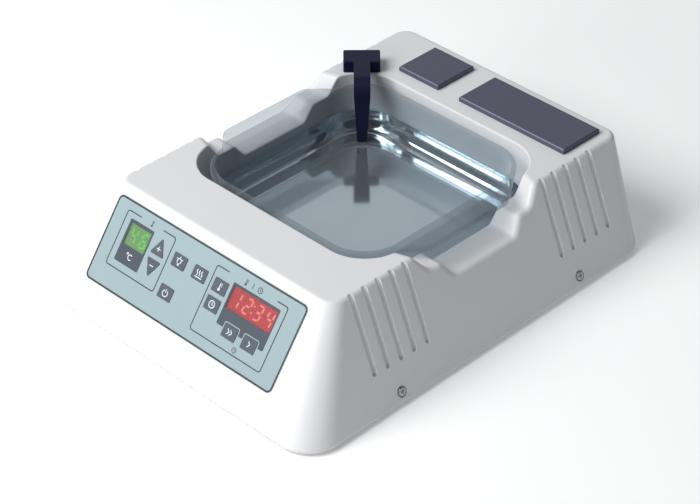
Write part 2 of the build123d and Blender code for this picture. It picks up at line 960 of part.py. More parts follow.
def make_plate_straps():
    """Strap across each opening that draws its drying plate down on the deck."""
    straps = []
    y = plate_front + plate_depth / 2
    top = -wall - plate_heater
    length = plate_depth + 2 * plate_lip
    bar = Pos(0, 0, top - strap_sheet / 2) * Box(strap_width, length, strap_sheet)
    for j in (-1, 1):
        foot = Pos(0, j * (length - plate_lip) / 2, top + plate_heater / 2)
        bar += foot * Box(strap_width, plate_lip, plate_heater)
    bar -= Cylinder(stud_radius + plate_gap, 20 * wall)
    for width, x in deck_plates().values():
        for i in (-1, 1):
            straps.append(Pos(x + i * stud_offset(width), y, deck_z) * bar)
    return Compound(straps)


def make_strap_nuts():
    """Nuts on the studs under the straps."""
    nuts = []
    y = plate_front + plate_depth / 2
    top = -wall - plate_heater - strap_sheet
    for width, x in deck_plates().values():
        for i in (-1, 1):
            nut = extrude(RegularPolygon(nut_radius, 6), nut_height) - Cylinder(stud_radius, 4 * nut_height)
            nuts.append(Pos(x + i * stud_offset(width), y, deck_z + top - nut_height) * nut)
    return Compound(nuts)


def make_control_overlay():
    """Printed sheet in the panel recess, cut out for the windows and the key caps."""
    sheet = overlay_outline() - offset(small_window_outline(), amount=window_gap)
    sheet -= offset(large_window_outline(), amount=window_gap)
    for shape, u, s in keys().values():
        sheet -= Pos(u, -s) * offset(shape, amount=key_gap)
    return panel_sketch(sheet, overlay_proud, overlay_sheet)


def make_window(shape):
    """Tinted display window, level with the overlay."""
    return panel_sketch(shape, overlay_proud, overlay_sheet)


def make_key(shape, u, s):
    """Key cap with a flange behind the overlay and a stem to its switch."""
    cap = on_panel(u, s, overlay_back) * extrude(shape, key_proud + overlay_sheet)
    flange = on_panel(u, s, overlay_back - key_flange_sheet) * extrude(
        offset(shape, amount=key_flange), key_flange_sheet
    )
    stem = on_panel(u, s, overlay_back - key_stem_length / 2) * Cylinder(key_stem_radius, key_stem_length)
    return cap + flange + stem


def board_level():
    """Level of the control board's face behind the panel."""
    return overlay_back - module_gap - module_height


def make_display(width, u, s):
    """Display module on the control board, its face just behind the window."""
    return on_panel(u, s, board_level() + module_height / 2) * Box(width, module_depth, module_height)


def digit_segments(figure):
    """Lit strokes of one seven-segment figure, centred on the origin."""
    lit = {"1": "bc", "2": "abged", "3": "abgcd", "4": "fgbc", "6": "afgcde"}[figure]
    half_w = digit_width / 2
    half_h = digit_height / 2
    stroke = digit_stroke
    across = digit_width - 2 * stroke
    along = half_h - 1.5 * stroke
    quarter = half_h / 2
    places = {
        "a": (0, half_h - stroke / 2, across, stroke),
        "g": (0, 0, across, stroke),
        "d": (0, -half_h + stroke / 2, across, stroke),
        "f": (-half_w + stroke / 2, quarter, stroke, along),
        "b": (half_w - stroke / 2, quarter, stroke, along),
        "e": (-half_w + stroke / 2, -quarter, stroke, along),
        "c": (half_w - stroke / 2, -quarter, stroke, along),
    }
    bars = []
    for name in lit:
        x, y, width, height = places[name]
        lean = digit_slant * height / 2
        points = [(-width / 2 - lean, -height / 2), (width / 2 - lean, -height / 2)]
        points += [(width / 2 + lean, height / 2), (-width / 2 + lean, height / 2)]
        bars.append(Pos(x + digit_slant * y, y) * make_face(Polyline(*points, close=True)))
    return bars


def make_digits(text, u, s):
    """Lit strokes of a display, standing just proud of the module's face."""
    level = overlay_back - module_gap
    strokes = []
    figures = text.replace(":", "")
    for i, figure in enumerate(figures):
        shift = (i - (len(figures) - 1) / 2) * digit_pitch
        strokes += [Pos(shift, 0) * bar for bar in digit_segments(figure)]
    if ":" in text:
        for i in (-1, 1):
            strokes.append(Pos(digit_slant * i * 3, i * 3) * Circle(digit_stroke / 2))
    return Compound([on_panel(u, s, level) * extrude(stroke, segment_proud) for stroke in strokes])


def make_control_board():
    """Circuit board on the posts behind the panel."""
    margin = board_margin - board_post_radius - board_edge
    wide = overlay_width - 2 * margin
    tall = overlay_height - 2 * margin
    board = Pos(overlay_u, -overlay_s) * RectangleRounded(wide, tall, board_edge)
    for u, s in board_posts():
        board -= Pos(u, -s) * Circle(board_screw_radius + key_gap)
    return panel_sketch(board, board_level(), board_sheet)


def make_key_switches():
    """Tact switches on the control board, one under each key."""
    switches = []
    plunger_top = overlay_back - key_stem_length - key_travel - plunger_gap
    rise = plunger_top - board_level()
    for shape, u, s in keys().values():
        body = Pos(0, 0, switch_body / 2) * Box(switch_size, switch_size, switch_body)
        plunger = Pos(0, 0, rise / 2) * Cylinder(plunger_radius, rise)
        switches.append(on_panel(u, s, board_level()) * (body + plunger))
    return Compound(switches)


def make_board_screws():
    """Screws through the control board into its posts."""
    screws = []
    for u, s in board_posts():
        seat = on_panel(u, s, board_level() - board_sheet) * Rot(180, 0, 0)
        screws.append(seat * pan_head_screw(board_screw_radius, 2 * board_screw_radius, board_screw_length))
    return Compound(screws)


def socket_outline():
    """Outline of the inlet's socket, with two bevelled upper corners."""
    box = Rectangle(socket_width, socket_height)
    upper = [v for v in box.vertices() if v.Y > 0]
    return Pos(0, -socket_drop) * chamfer(upper, socket_height / 4)


def make_mains_inlet():
    """Appliance inlet in the rear wall, with a bay for the fuse drawer above its socket."""
    body = extrude(RectangleRounded(bezel_width, bezel_height, bezel_sheet), bezel_sheet)
    body += extrude(Rectangle(inlet_body_width, inlet_body_height), -inlet_body_depth)
    body -= Pos(0, 0, bezel_sheet - socket_length) * extrude(socket_outline(), socket_length)
    bay = Rectangle(drawer_width + 2 * drawer_gap, drawer_height + 2 * drawer_gap)
    body -= Pos(0, drawer_rise, bezel_sheet - drawer_depth) * extrude(bay, drawer_depth)
    for blade in inlet_blades():
        body -= blade
    return rear_panel * body


def inlet_blades():
    """Solids of the three blades, rooted in the floor of the socket."""
    places = [(-blade_spacing / 2, -blade_drop), (blade_spacing / 2, -blade_drop), (0, blade_drop)]
    level = bezel_sheet - socket_length + (blade_length - blade_root) / 2
    blade = Box(blade_thickness, blade_width, blade_length + blade_root)
    return [Pos(x, y - socket_drop, level) * blade for x, y in places]


def make_inlet_blades():
    """Blades of the mains inlet."""
    return Compound([rear_panel * blade for blade in inlet_blades()])


def fuse_levels():
    """Depths of the two fuses behind the front of the drawer."""
    back = bezel_sheet - drawer_depth + drawer_back
    return [back + fuse_radius + i * fuse_spacing for i in (0, 1)]


def make_fuse_drawer():
    """Drawer with a trough for each fuse, level with the bezel."""
    depth = drawer_depth - 2 * drawer_gap
    body = Pos(0, drawer_rise, bezel_sheet - depth / 2) * Box(drawer_width, drawer_height, depth)
    grip = Box(drawer_width / 3, drawer_grip, drawer_grip)
    body -= Pos(0, drawer_rise + drawer_height / 2, bezel_sheet) * grip
    trough = Box(fuse_length + 2 * drawer_gap, drawer_height, 2 * (fuse_radius + drawer_gap))
    for level in fuse_levels():
        body -= Pos(0, drawer_rise + drawer_floor, level) * trough
    return rear_panel * body


def make_fuses():
    """Working fuse and spare fuse, each a glass tube with two end caps."""
    fuses = []
    y = drawer_rise + drawer_floor - drawer_height / 2 + fuse_radius
    for level in fuse_levels():
        place = rear_panel * Pos(0, y, level) * Rot(0, 90, 0)
        tube = Cylinder(fuse_radius - fuse_cap_sheet, fuse_length)
        for i in (-1, 1):
            tube += Pos(0, 0, i * (fuse_length - fuse_cap) / 2) * Cylinder(fuse_radius, fuse_cap)
        fuses.append(place * tube)
    return Compound(fuses)


def spacer_places():
    """Places of the spacers under the power board."""
    x = power_board_width / 2 - 2 * spacer_radius
    y = power_board_depth / 2 - 2 * spacer_radius
    return [(power_board_x + i * x, power_board_y + j * y) for i in (-1, 1) for j in (-1, 1)]


def board_floor():
    """Height of the upper face of the base plate."""
    return foot_drop + plate_rise + plate_sheet


def make_board_spacers():
    """Hexagonal spacers on the base plate, with a screw through each end."""
    spacers = []
    for x, y in spacer_places():
        spacer = extrude(RegularPolygon(spacer_radius, 6), power_board_rise)
        spacer += extrude(Circle(board_screw_radius), -plate_sheet)
        spacer += Pos(0, 0, power_board_rise) * extrude(Circle(board_screw_radius), board_sheet)
        cap = extrude(Circle(2 * board_screw_radius), board_screw_radius)
        spacer += Pos(0, 0, power_board_rise + board_sheet) * cap
        spacers.append(Pos(x, y, board_floor()) * spacer)
    return Compound(spacers)


def board_top():
    """Height of the upper face of the power board."""
    return board_floor() + power_board_rise + board_sheet


def make_power_board():
    """Circuit board on its spacers at the rear."""
    board = Pos(power_board_x, power_board_y, board_top() - board_sheet / 2) * Box(
        power_board_width, power_board_depth, board_sheet
    )
    for x, y in spacer_places():
        board -= Pos(x, y, board_top()) * Cylinder(board_screw_radius, 4 * board_sheet)
    return board


def transformer_place():
    """Middle of the transformer on the power board."""
    x = power_board_x - power_board_width / 2 + transformer_width / 2 + transformer_margin
    return Pos(x, power_board_y, board_top() + transformer_height / 2)


def make_transformer():
    """Laminated core of the transformer, with a middle limb between two windows."""
    core = Box(transformer_width, transformer_depth / 2, transformer_height)
    opening = (transformer_width - 2 * transformer_limb - 2 * core_side) / 2
    for i in (-1, 1):
        window = Box(opening, transformer_depth, transformer_height - 2 * core_side)
        core -= Pos(i * (transformer_limb + opening / 2), 0, 0) * window
    return transformer_place() * core


def make_transformer_winding():
    """Bobbin and winding round the middle limb of the core."""
    wide = transformer_width - 2 * core_side - 2 * winding_gap
    winding = Box(wide, transformer_depth, transformer_height - 2 * core_side - 2 * winding_gap)
    winding = fillet(winding.edges().filter_by(Axis.Z), winding_round)
    limb = Box(2 * transformer_limb, transformer_depth / 2, transformer_height)
    return transformer_place() * (winding - limb)


def make_relays():
    """Three relays for the bath heater, the drying plates and the lamp."""
    relay = Pos(0, 0, relay_height / 2) * Box(relay_width, relay_depth, relay_height)
    places = [Pos(relay_x + i * relay_pitch, power_board_y, board_top()) for i in range(relay_count)]
    return Compound([place * relay for place in places])


def make_terminal_block():
    """Row of screw terminals at the end of the power board."""
    length = (terminal_count + 0.5) * terminal_pitch
    block = Pos(0, 0, terminal_height / 2) * Box(terminal_depth, length, terminal_height)
    for i in range(terminal_count):
        y = (i - (terminal_count - 1) / 2) * terminal_pitch
        well = Pos(0, y, terminal_height) * Cylinder(terminal_pitch / 3, terminal_height)
        entry = Pos(terminal_depth / 2, y, terminal_height / 3)
        block -= well
        block -= entry * Box(terminal_depth / 2, terminal_pitch / 1.5, terminal_height / 3)
    x = power_board_x + power_board_width / 2 - terminal_margin
    return Pos(x, power_board_y, board_top()) * block


def make_nodes():
    """Every sub-part by its node name."""
    nodes = {
        "housing_cover": make_housing_cover(),
        "base_plate": make_base_plate(),
        "rubber_feet": make_feet(),
        "cover_screws": make_cover_screws(),
        "bath_well": make_bath_well(),
        "well_screws": make_well_screws(),
        "bath_heater": make_bath_heater(),
        "insulation_pad": make_insulation_pad(),
        "thermal_cutout": make_thermal_cutout(),
        "lamp_window": make_lamp_window(),
        "lamp_board": make_lamp_board(),
        "glass_dish": make_glass_dish(),
        "probe_arm": make_probe_arm(),
        "probe_pins": make_probe_pins(),
        "probe_sensor": make_probe_sensor(),
        "probe_socket": make_probe_socket(),
        "plate_straps": make_plate_straps(),
        "strap_nuts": make_strap_nuts(),
        "control_overlay": make_control_overlay(),
        "temp_window": make_window(small_window_outline()),
        "time_window": make_window(large_window_outline()),
        "control_board": make_control_board(),
        "key_switches": make_key_switches(),
        "board_screws": make_board_screws(),
        "mains_inlet": make_mains_inlet(),
        "inlet_blades": make_inlet_blades(),
        "fuse_drawer": make_fuse_drawer(),
        "fuses": make_fuses(),
        "power_board": make_power_board(),
        "board_spacers": make_board_spacers(),
        "transformer_core": make_transformer(),
        "transformer_winding": make_transformer_winding(),
        "relays": make_relays(),
        "terminal_block": make_terminal_block(),
    }
    for name, (width, x) in deck_plates().items():
        nodes[name + "_drying_plate"] = make_drying_plate(width, x)
        nodes[name + "_plate_heater"] = make_plate_heater(width, x)
    for name, place in module_places().items():
        nodes[name] = make_display(*place)
    nodes["temp_digits"] = make_digits("46", *module_places()["temp_display"][1:])
    nodes["time_digits"] = make_digits("12:34", *module_places()["time_display"][1:])
    for name, place in keys().items():
        nodes[name] = make_key(*place)
    return nodes


def frame_shift():
    """Y of the middle of the footprint, from the rounded front edge to the inlet's bezel."""
    front = base_depth / 2 - base_round * (front_run / housing_height + front_stretch - 1)
    rear = rear_panel.origin.Y + bezel_sheet * rear_panel.z_dir.Y
    rear += bezel_height / 2 * abs(rear_panel.y_dir.Y)
    return (rear - front) / 2


def main():
    os.makedirs("parts", exist_ok=True)
    for name, shape in make_nodes().items():
        export_step(Pos(0, -frame_shift(), 0) * shape, "parts/" + name + ".step")


main()
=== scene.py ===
"""Looks of the water bath: finishes, printed marks, floor, lights and camera, in metres."""

import json
import math

import bmesh
import bpy
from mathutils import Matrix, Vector


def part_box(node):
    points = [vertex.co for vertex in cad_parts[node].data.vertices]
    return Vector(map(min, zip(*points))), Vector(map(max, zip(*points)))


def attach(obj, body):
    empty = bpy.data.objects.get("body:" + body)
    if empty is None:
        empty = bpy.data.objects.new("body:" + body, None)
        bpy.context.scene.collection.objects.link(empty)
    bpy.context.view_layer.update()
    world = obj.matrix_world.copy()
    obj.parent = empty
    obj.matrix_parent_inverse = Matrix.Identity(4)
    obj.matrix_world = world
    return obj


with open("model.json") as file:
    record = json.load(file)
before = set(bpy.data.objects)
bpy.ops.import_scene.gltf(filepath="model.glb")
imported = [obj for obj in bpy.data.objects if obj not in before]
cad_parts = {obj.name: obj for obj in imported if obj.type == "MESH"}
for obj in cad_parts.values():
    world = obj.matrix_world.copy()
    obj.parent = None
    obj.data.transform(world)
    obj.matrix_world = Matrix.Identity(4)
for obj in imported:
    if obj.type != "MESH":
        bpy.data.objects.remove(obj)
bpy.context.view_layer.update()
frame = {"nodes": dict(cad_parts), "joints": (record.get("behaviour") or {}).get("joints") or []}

# Camera, as found from the photograph
camera_azimuth = math.radians(44.724)
camera_elevation = math.radians(35.933)
camera_distance = 1.9967
camera_target = Vector((0.04525, -0.04129, 0.0584))
camera_lens = 124.17
sensor_width = 36.0

# Printed marks on the control panel: u is to the right, s down the slope from the deck's edge
film_s = 0.048
film_sheet = 0.001
print_sheet = 0.00008
print_lift = 0.00002
key_rise = 0.0005
border_width = 0.0014
border_inset = 0.001
border_corner = 0.0042
frame_line = 0.0009
frame_corner = 0.0022
icon_line = 0.00075

# Corners of the two open group frames, as u and s in millimetres
set_group = [(-86, 18.3), (-102, 18.3), (-102, 66.8), (-43.4, 66.8), (-43.4, 18.3), (-58.8, 18.3)]
read_group = [(20.7, 19), (6.8, 19), (6.8, 75.8), (88.5, 75.8), (88.5, 19), (76.1, 19)]

# Places of the small signs, as u and s
set_heading = (-0.0724, 0.0183)
read_heading = (0.0484, 0.019)
speed_heading = (0.0568, 0.0715)
degree_place = (-0.0813, 0.0527)

# Bright face of the well's floor, under the dish
floor_half = 0.084
floor_corner = 0.022
floor_rise = 0.00006
floor_sheet = 0.00006


class Value:
    """A shader value. Maths on it adds the nodes that work it out."""

    def __init__(self, finish, node, output=0):
        self.finish = finish
        self.node = node
        self.socket = node.outputs[output]

    def pick(self, output):
        return Value(self.finish, self.node, output)

    def sum_up(self, operation, first, second):
        return self.finish.node("Math", {"operation": operation}, {0: first, 1: second})

    def __add__(self, other):
        return self.sum_up("ADD", self, other)

    __radd__ = __add__

    def __rsub__(self, other):
        return self.sum_up("SUBTRACT", other, self)

    def __mul__(self, other):
        return self.sum_up("MULTIPLY", self, other)

    __rmul__ = __mul__

    def __pow__(self, other):
        return self.sum_up("POWER", self, other)

    def __gt__(self, other):
        return self.sum_up("GREATER_THAN", self, other)

    def __lt__(self, other):
        return self.sum_up("LESS_THAN", self, other)


class Finish:
    """A material in the making."""

    def __init__(self, name, **sockets):
        self.material = bpy.data.materials.new(name)
        self.material.use_nodes = True
        self.tree = self.material.node_tree
        self.shader = self.tree.nodes["Principled BSDF"]
        self.output = self.tree.nodes["Material Output"]
        for socket, value in sockets.items():
            self.set(socket.replace("_", " "), value)

    def set(self, socket, value):
        self.fill(self.shader.inputs[socket], value)

    def fill(self, socket, value):
        """Links a value to a socket, or sets the socket to a plain number or colour."""
        if isinstance(value, Value):
            self.tree.links.new(value.socket, socket)
        elif hasattr(value, "__len__") and len(value) == 3 and len(socket.default_value) == 4:
            socket.default_value = (*value, 1)
        else:
            socket.default_value = value

    def node(self, kind, settings=None, sockets=None):
        """Adds a node, sets it up, fills its sockets and returns its first output."""
        made = self.tree.nodes.new("ShaderNode" + kind)
        for name, value in (settings or {}).items():
            setattr(made, name, value)
        for name, value in (sockets or {}).items():
            self.fill(made.inputs[name], value)
        return Value(self, made)

    def place(self):
        """Position on the object, in metres."""
        return self.node("TexCoord").pick("Object")

    def noise(self, scale, detail=2.0, place=None):
        """Noise from 0 to 1, with a scale in patches per metre."""
        vector = place or self.place()
        return self.node("TexNoise", None, {"Vector": vector, "Scale": scale, "Detail": detail})

    def tint(self, factor, first, second):
        """Colour between two, by a factor."""
        mixed = self.node("Mix", {"data_type": "RGBA"}, {0: factor, 6: first, 7: second})
        return mixed.pick(2)

    def bump(self, height, depth, strength=1.0):
        """Normal that follows a height of 0 to 1, for a depth in metres."""
        return self.node("Bump", None, {"Strength": strength, "Distance": depth, "Height": height})


def linear(red, green, blue):
    """Linear colour from display values of 0 to 255."""
    shades = [c / 255 for c in (red, green, blue)]
    return tuple(c / 12.92 if c <= 0.04045 else ((c + 0.055) / 1.055) ** 2.4 for c in shades)


def shaded(color, share):
    """A colour made darker or lighter."""
    return tuple(min(1.0, c * share) for c in color)


def moulded(name, color, roughness, grain=2600.0, depth=0.00002, mottle=0.05, **sockets):
    """Moulded plastic or rubber with a fine grain and a slight unevenness."""
    finish = Finish(name, **sockets)
    cloud = finish.noise(22.0, 3.0)
    dark, light = shaded(color, 1 - mottle), shaded(color, 1 + mottle)
    finish.set("Base Color", finish.tint(cloud, dark, light))
    finish.set("Roughness", roughness - 0.06 + 0.12 * finish.noise(60.0))
    finish.set("Normal", finish.bump(finish.noise(grain), depth))
    return finish.material


def brushed(name, color, roughness, across=(1.0, 40.0, 40.0), metallic=1.0, mottle=0.12):
    """Metal with a brushed grain along one axis."""
    finish = Finish(name, Metallic=metallic)
    stretched = finish.node("Mapping", None, {"Vector": finish.place(), "Scale": across})
    grain = finish.noise(90.0, 4.0, stretched)
    dark, light = shaded(color, 1 - mottle), shaded(color, 1 + mottle)
    finish.set("Base Color", finish.tint(grain, dark, light))
    finish.set("Roughness", roughness - 0.08 + 0.16 * grain)
    finish.set("Normal", finish.bump(grain, 0.00001))
    return finish.material


def dish_glass():
    """Pressed glass: tinted and clear, with a gloss that grows toward grazing angles."""
    finish = Finish("dish_glass", Roughness=0.05, IOR=1.5)
    haze = finish.noise(18.0, 1.0)
    finish.set("Base Color", finish.tint(haze, linear(196, 204, 210), linear(206, 213, 219)))
    finish.set("Normal", finish.bump(haze, 0.0003, 0.15))
    clear = finish.node("BsdfTransparent", None, {"Color": linear(229, 233, 235)})
    slant = finish.node("LayerWeight", None, {"Blend": 0.5}).pick("Facing")
    blend = finish.node("MixShader", None, {0: 0.08 + 0.9 * slant ** 4})
    finish.tree.links.new(clear.socket, blend.node.inputs[1])
    finish.tree.links.new(finish.shader.outputs[0], blend.node.inputs[2])
    finish.tree.links.new(blend.socket, finish.output.inputs[0])
    return finish.material


def polished_well():
    """Polished sheet metal with faint wipe marks."""
    finish = Finish("polished_well", Metallic=1.0)
    marks = finish.noise(35.0, 4.0)
    finish.set("Base Color", finish.tint(marks, linear(222, 228, 232), linear(232, 238, 242)))
    finish.set("Roughness", 0.06 + 0.05 * marks)
    return finish.material


def display_window(name, color, lit_node):
    """Tinted window, masked dark outside the display behind it."""
    finish = Finish(name, Coat_Weight=0.35, Coat_Roughness=0.08)
    low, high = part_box(lit_node)
    spread = finish.node("SeparateXYZ", None, {0: finish.place()})
    inside = (spread.pick("X") > low.x) * (spread.pick("X") < high.x)
    slope_low, slope_high = slope_span(lit_node)
    along = spread.pick("Y") * panel_up.y + spread.pick("Z") * panel_up.z
    inside = inside * (along > slope_low) * (along < slope_high)
    speck = finish.noise(400.0)
    grey = finish.tint(speck, linear(68, 76, 86), linear(73, 81, 91))
    finish.set("Base Color", finish.tint(inside, grey, color))
    finish.set("Alpha", 1 - 0.75 * inside)
    finish.set("Roughness", 0.32 + 0.05 * speck)
    return finish.material


def glowing(name, color, strength):
    """Lit face of a display."""
    finish = Finish(name, Roughness=0.5)
    flicker = finish.noise(500.0)
    glow = finish.tint(flicker, shaded(color, 0.92), color)
    finish.set("Base Color", finish.tint(flicker, shaded(color, 0.2), shaded(color, 0.3)))
    finish.set("Emission Color", glow)
    finish.set("Emission Strength", strength)
    return finish.material


def dress(material, *nodes):
    """Gives a material to CAD nodes."""
    for node in nodes:
        mesh = frame["nodes"][node].data
        mesh.materials.clear()
        mesh.materials.append(material)


# Frame of the control panel, from the keys' own travel and the film's place
press = next(joint for joint in frame["joints"] if joint["name"] == "plus_press")
panel_normal = -Vector(press["axis"]).normalized()
panel_up = Vector((0, panel_normal.z, -panel_normal.y))
film_low, film_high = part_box("control_overlay")
film_middle = (film_low + film_high) / 2 + panel_normal * film_sheet / 2


def on_panel(u, s, lift=0.0):
    """Point on the control panel."""
    point = film_middle + panel_up * (film_s - s) + panel_normal * lift
    point.x = u
    return point


def slope_span(node):
    """Lowest and highest place of a box-shaped node along the slope."""
    rises = [v.co @ panel_up for v in frame["nodes"][node].data.vertices]
    return min(rises), max(rises)


def arc(middle, radius, start, end, steps=16):
    """Points on an arc, with its angles in degrees."""
    turns = [math.radians(start + (end - start) * i / steps) for i in range(steps + 1)]
    return [(middle[0] + radius * math.cos(t), middle[1] + radius * math.sin(t)) for t in turns]


def rounded(corners, radius, closed):
    """Path through some corners, each rounded with an arc."""
    count = len(corners)
    path = []
    for i, corner in enumerate(corners):
        if not closed and i in (0, count - 1):
            path.append(corner)
            continue
        here = Vector(corner)
        before = (Vector(corners[i - 1]) - here).normalized()
        after = (Vector(corners[(i + 1) % count]) - here).normalized()
        half = before.angle(after) / 2
        reach = radius / math.tan(half)
        start = here + before * reach
        end = here + after * reach
        middle = here + (before + after).normalized() * (radius / math.sin(half))
        for k in range(7):
            point = start.lerp(end, k / 6) - middle
            path.append(tuple(middle + point.normalized() * radius))
    return path


class Print:
    """Thin raised print, built stroke by stroke on the panel."""

    def __init__(self, name, u=0.0, s=0.0, level=0.0):
        self.mesh = bmesh.new()
        self.name = name
        self.u = u
        self.s = s
        self.level = level

    def corner(self, x, y, lift):
        return self.mesh.verts.new(on_panel(self.u + x, self.s - y, self.level + lift))

    def stroke(self, path, width, closed=False):
        """Line of even width along a path."""
        count = len(path)
        points = [Vector(p) for p in path]
        rings = []
        for i, here in enumerate(points):
            before = points[i - 1] if closed or i else here * 2 - points[1]
            last = not closed and i == count - 1
            after = here * 2 - points[i - 1] if last else points[(i + 1) % count]
            first = (here - before).normalized()
            second = (after - here).normalized()
            lean = (first + second).normalized()
            side = Vector((-lean.y, lean.x)) * (width / 2) / max(0.5, lean.dot(first))
            ring = [self.corner(*(here + side), 0), self.corner(*(here - side), 0)]
            ring.append(self.corner(*(here - side), print_sheet))
            ring.append(self.corner(*(here + side), print_sheet))
            rings.append(ring)
        pairs = list(zip(rings, rings[1:]))
        if closed:
            pairs.append((rings[-1], rings[0]))
        for one, two in pairs:
            for k in range(4):
                self.mesh.faces.new((one[k], one[(k + 1) % 4], two[(k + 1) % 4], two[k]))
        if not closed:
            self.mesh.faces.new(rings[0][::-1])
            self.mesh.faces.new(rings[-1])

    def patch(self, path):
        """Filled shape inside a path."""
        lower = [self.corner(x, y, 0) for x, y in path]
        upper = [self.corner(x, y, print_sheet) for x, y in path]
        self.mesh.faces.new(lower[::-1])
        self.mesh.faces.new(upper)
        for i in range(len(path)):
            k = (i + 1) % len(path)
            self.mesh.faces.new((lower[i], lower[k], upper[k], upper[i]))

    def done(self, material, body):
        """Turns the strokes into a piece that rides on a body."""
        bmesh.ops.recalc_face_normals(self.mesh, faces=self.mesh.faces)
        mesh = bpy.data.meshes.new(self.name)
        self.mesh.to_mesh(mesh)
        self.mesh.free()
        mesh.materials.append(material)
        piece = bpy.data.objects.new(self.name, mesh)
        bpy.context.scene.collection.objects.link(piece)
        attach(piece, body)
        return piece


def millimetres(path):
    """A path given in millimetres, in metres."""
    return [(x / 1000, y / 1000) for x, y in path]


def draw_thermometer(mark, x=0.0, size=1.0):
    """Bulb and stem of a thermometer."""
    mark.stroke(millimetres([(x, -1.2 * size), (x, 3.2 * size)]), icon_line * size)
    mark.patch(millimetres(arc((x, -2.2 * size), 1.3 * size, 0, 345, 15)))
    for rise in (0.6, 1.8, 3.0):
        tick = [(x + 0.9 * size, rise * size), (x + 2.0 * size, rise * size)]
        mark.stroke(millimetres(tick), icon_line * 0.7)


def draw_clock(mark, x=0.0, size=1.0):
    """Round clock with two hands."""
    mark.stroke(millimetres(arc((x, 0), 3.0 * size, 0, 345, 23)), icon_line * size, closed=True)
    hands = [(x, 1.9 * size), (x, 0), (x + 1.4 * size, -0.8 * size)]
    mark.stroke(millimetres(hands), icon_line * size)


def draw_lamp(mark):
    """Lamp bulb with its cap and three rays."""
    mark.stroke(millimetres(arc((0, 0.6), 2.1, -55, 235, 20)), icon_line)
    for rise in (-1.9, -2.9):
        mark.stroke(millimetres([(-1.0, rise), (1.0, rise)]), icon_line)
    for turn in (30, 90, 150):
        x, y = math.cos(math.radians(turn)), math.sin(math.radians(turn))
        mark.stroke(millimetres([(3.0 * x, 0.6 + 3.0 * y), (3.9 * x, 0.6 + 3.9 * y)]), icon_line)


def draw_heat(mark):
    """Three rising waves of warm air over a plate."""
    for x in (-2.6, 0.0, 2.6):
        wave = [(x + 0.7 * math.sin(i / 8 * math.tau), -1.8 + 4.8 * i / 8) for i in range(9)]
        mark.stroke(millimetres(wave), icon_line)
    mark.stroke(millimetres([(-4.0, -3.2), (4.0, -3.2)]), icon_line)


def draw_power(mark):
    """Open ring with a bar."""
    mark.stroke(millimetres(arc((0, -0.3), 2.8, 125, 415, 22)), icon_line)
    mark.stroke(millimetres([(0, 0.2), (0, 3.4)]), icon_line)


def draw_chevrons(mark, count):
    """Arrow heads that point to the right."""
    for i in range(count):
        x = (i - (count - 1) / 2) * 3.0
        mark.stroke(millimetres([(x - 1.1, 2.4), (x + 1.1, 0), (x - 1.1, -2.4)]), icon_line)


def draw_plus(mark):
    """Plus sign."""
    mark.stroke(millimetres([(-2.1, 0), (2.1, 0)]), icon_line)
    mark.stroke(millimetres([(0, -2.1), (0, 2.1)]), icon_line)


def draw_minus(mark):
    """Minus sign."""
    mark.stroke(millimetres([(-2.1, 0), (2.1, 0)]), icon_line)


key_marks = {
    "plus": (draw_plus, -1.6),
    "minus": (draw_minus, 1.6),
    "light": (draw_lamp, -0.2),
    "dryer": (draw_heat, 0.2),
    "power": (draw_power, 0.0),
    "temp": (draw_thermometer, 0.0),
    "time": (draw_clock, 0.0),
    "fast": (lambda mark: draw_chevrons(mark, 2), 0.0),
    "slow": (lambda mark: draw_chevrons(mark, 1), 0.0),
}


def panel_place(node):
    """Middle of a node on the panel, as u and s."""
    low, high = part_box(node)
    slope_low, slope_high = slope_span(node)
    rise = (slope_low + slope_high) / 2 - film_middle @ panel_up
    return (low.x + high.x) / 2, film_s - rise


def print_keys(pale):
    """Pictogram on each key cap."""
    for name, (draw, shift) in key_marks.items():
        u, s = panel_place("key_" + name)
        mark = Print("mark_" + name, u, s - shift / 1000, key_rise + print_lift)
        draw(mark)
        mark.done(pale, name + "_button")


def film_line(name, corners, radius, width, ink, closed):
    """Printed line with rounded corners on the film, through corners of u and s in millimetres."""
    line = Print(name, 0, 0, print_lift)
    path = rounded([(u / 1000, -s / 1000) for u, s in corners], radius, closed)
    line.stroke(path, width, closed)
    return line.done(ink, "base")


def print_film(ink, pale):
    """Border, group frames and small signs of the film."""
    low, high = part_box("control_overlay")
    lower, upper = slope_span("control_overlay")
    half_height = (upper - lower) / 2
    left, right = low.x + border_inset, high.x - border_inset
    top = film_s - half_height + border_inset
    foot = film_s + half_height - border_inset
    border = [(left * 1000, top * 1000), (right * 1000, top * 1000)]
    border += [(right * 1000, foot * 1000), (left * 1000, foot * 1000)]
    film_line("film_border", border, border_corner, border_width, ink, True)
    film_line("set_frame", set_group, frame_corner, frame_line, ink, False)
    film_line("read_frame", read_group, frame_corner, frame_line, ink, False)
    heading = Print("set_heading", *set_heading, print_lift)
    draw_thermometer(heading, 0.0, 0.8)
    heading.done(ink, "base")
    heading = Print("read_heading", *read_heading, print_lift)
    draw_thermometer(heading, -8.0, 0.8)
    draw_clock(heading, 8.0, 0.8)
    heading.stroke(millimetres([(0, -2.2), (0, 2.2)]), icon_line * 0.8)
    heading.done(ink, "base")
    heading = Print("speed_heading", *speed_heading, print_lift)
    draw_clock(heading, 0.0, 0.72)
    heading.done(ink, "base")
    sign = Print("degree_sign", *degree_place, print_lift)
    sign.stroke(millimetres(arc((-2.6, 2.3), 0.8, 0, 330, 11)), icon_line * 0.8, closed=True)
    sign.stroke(millimetres(arc((1.2, 0), 2.3, 45, 315, 18)), icon_line)
    sign.done(pale, "base")


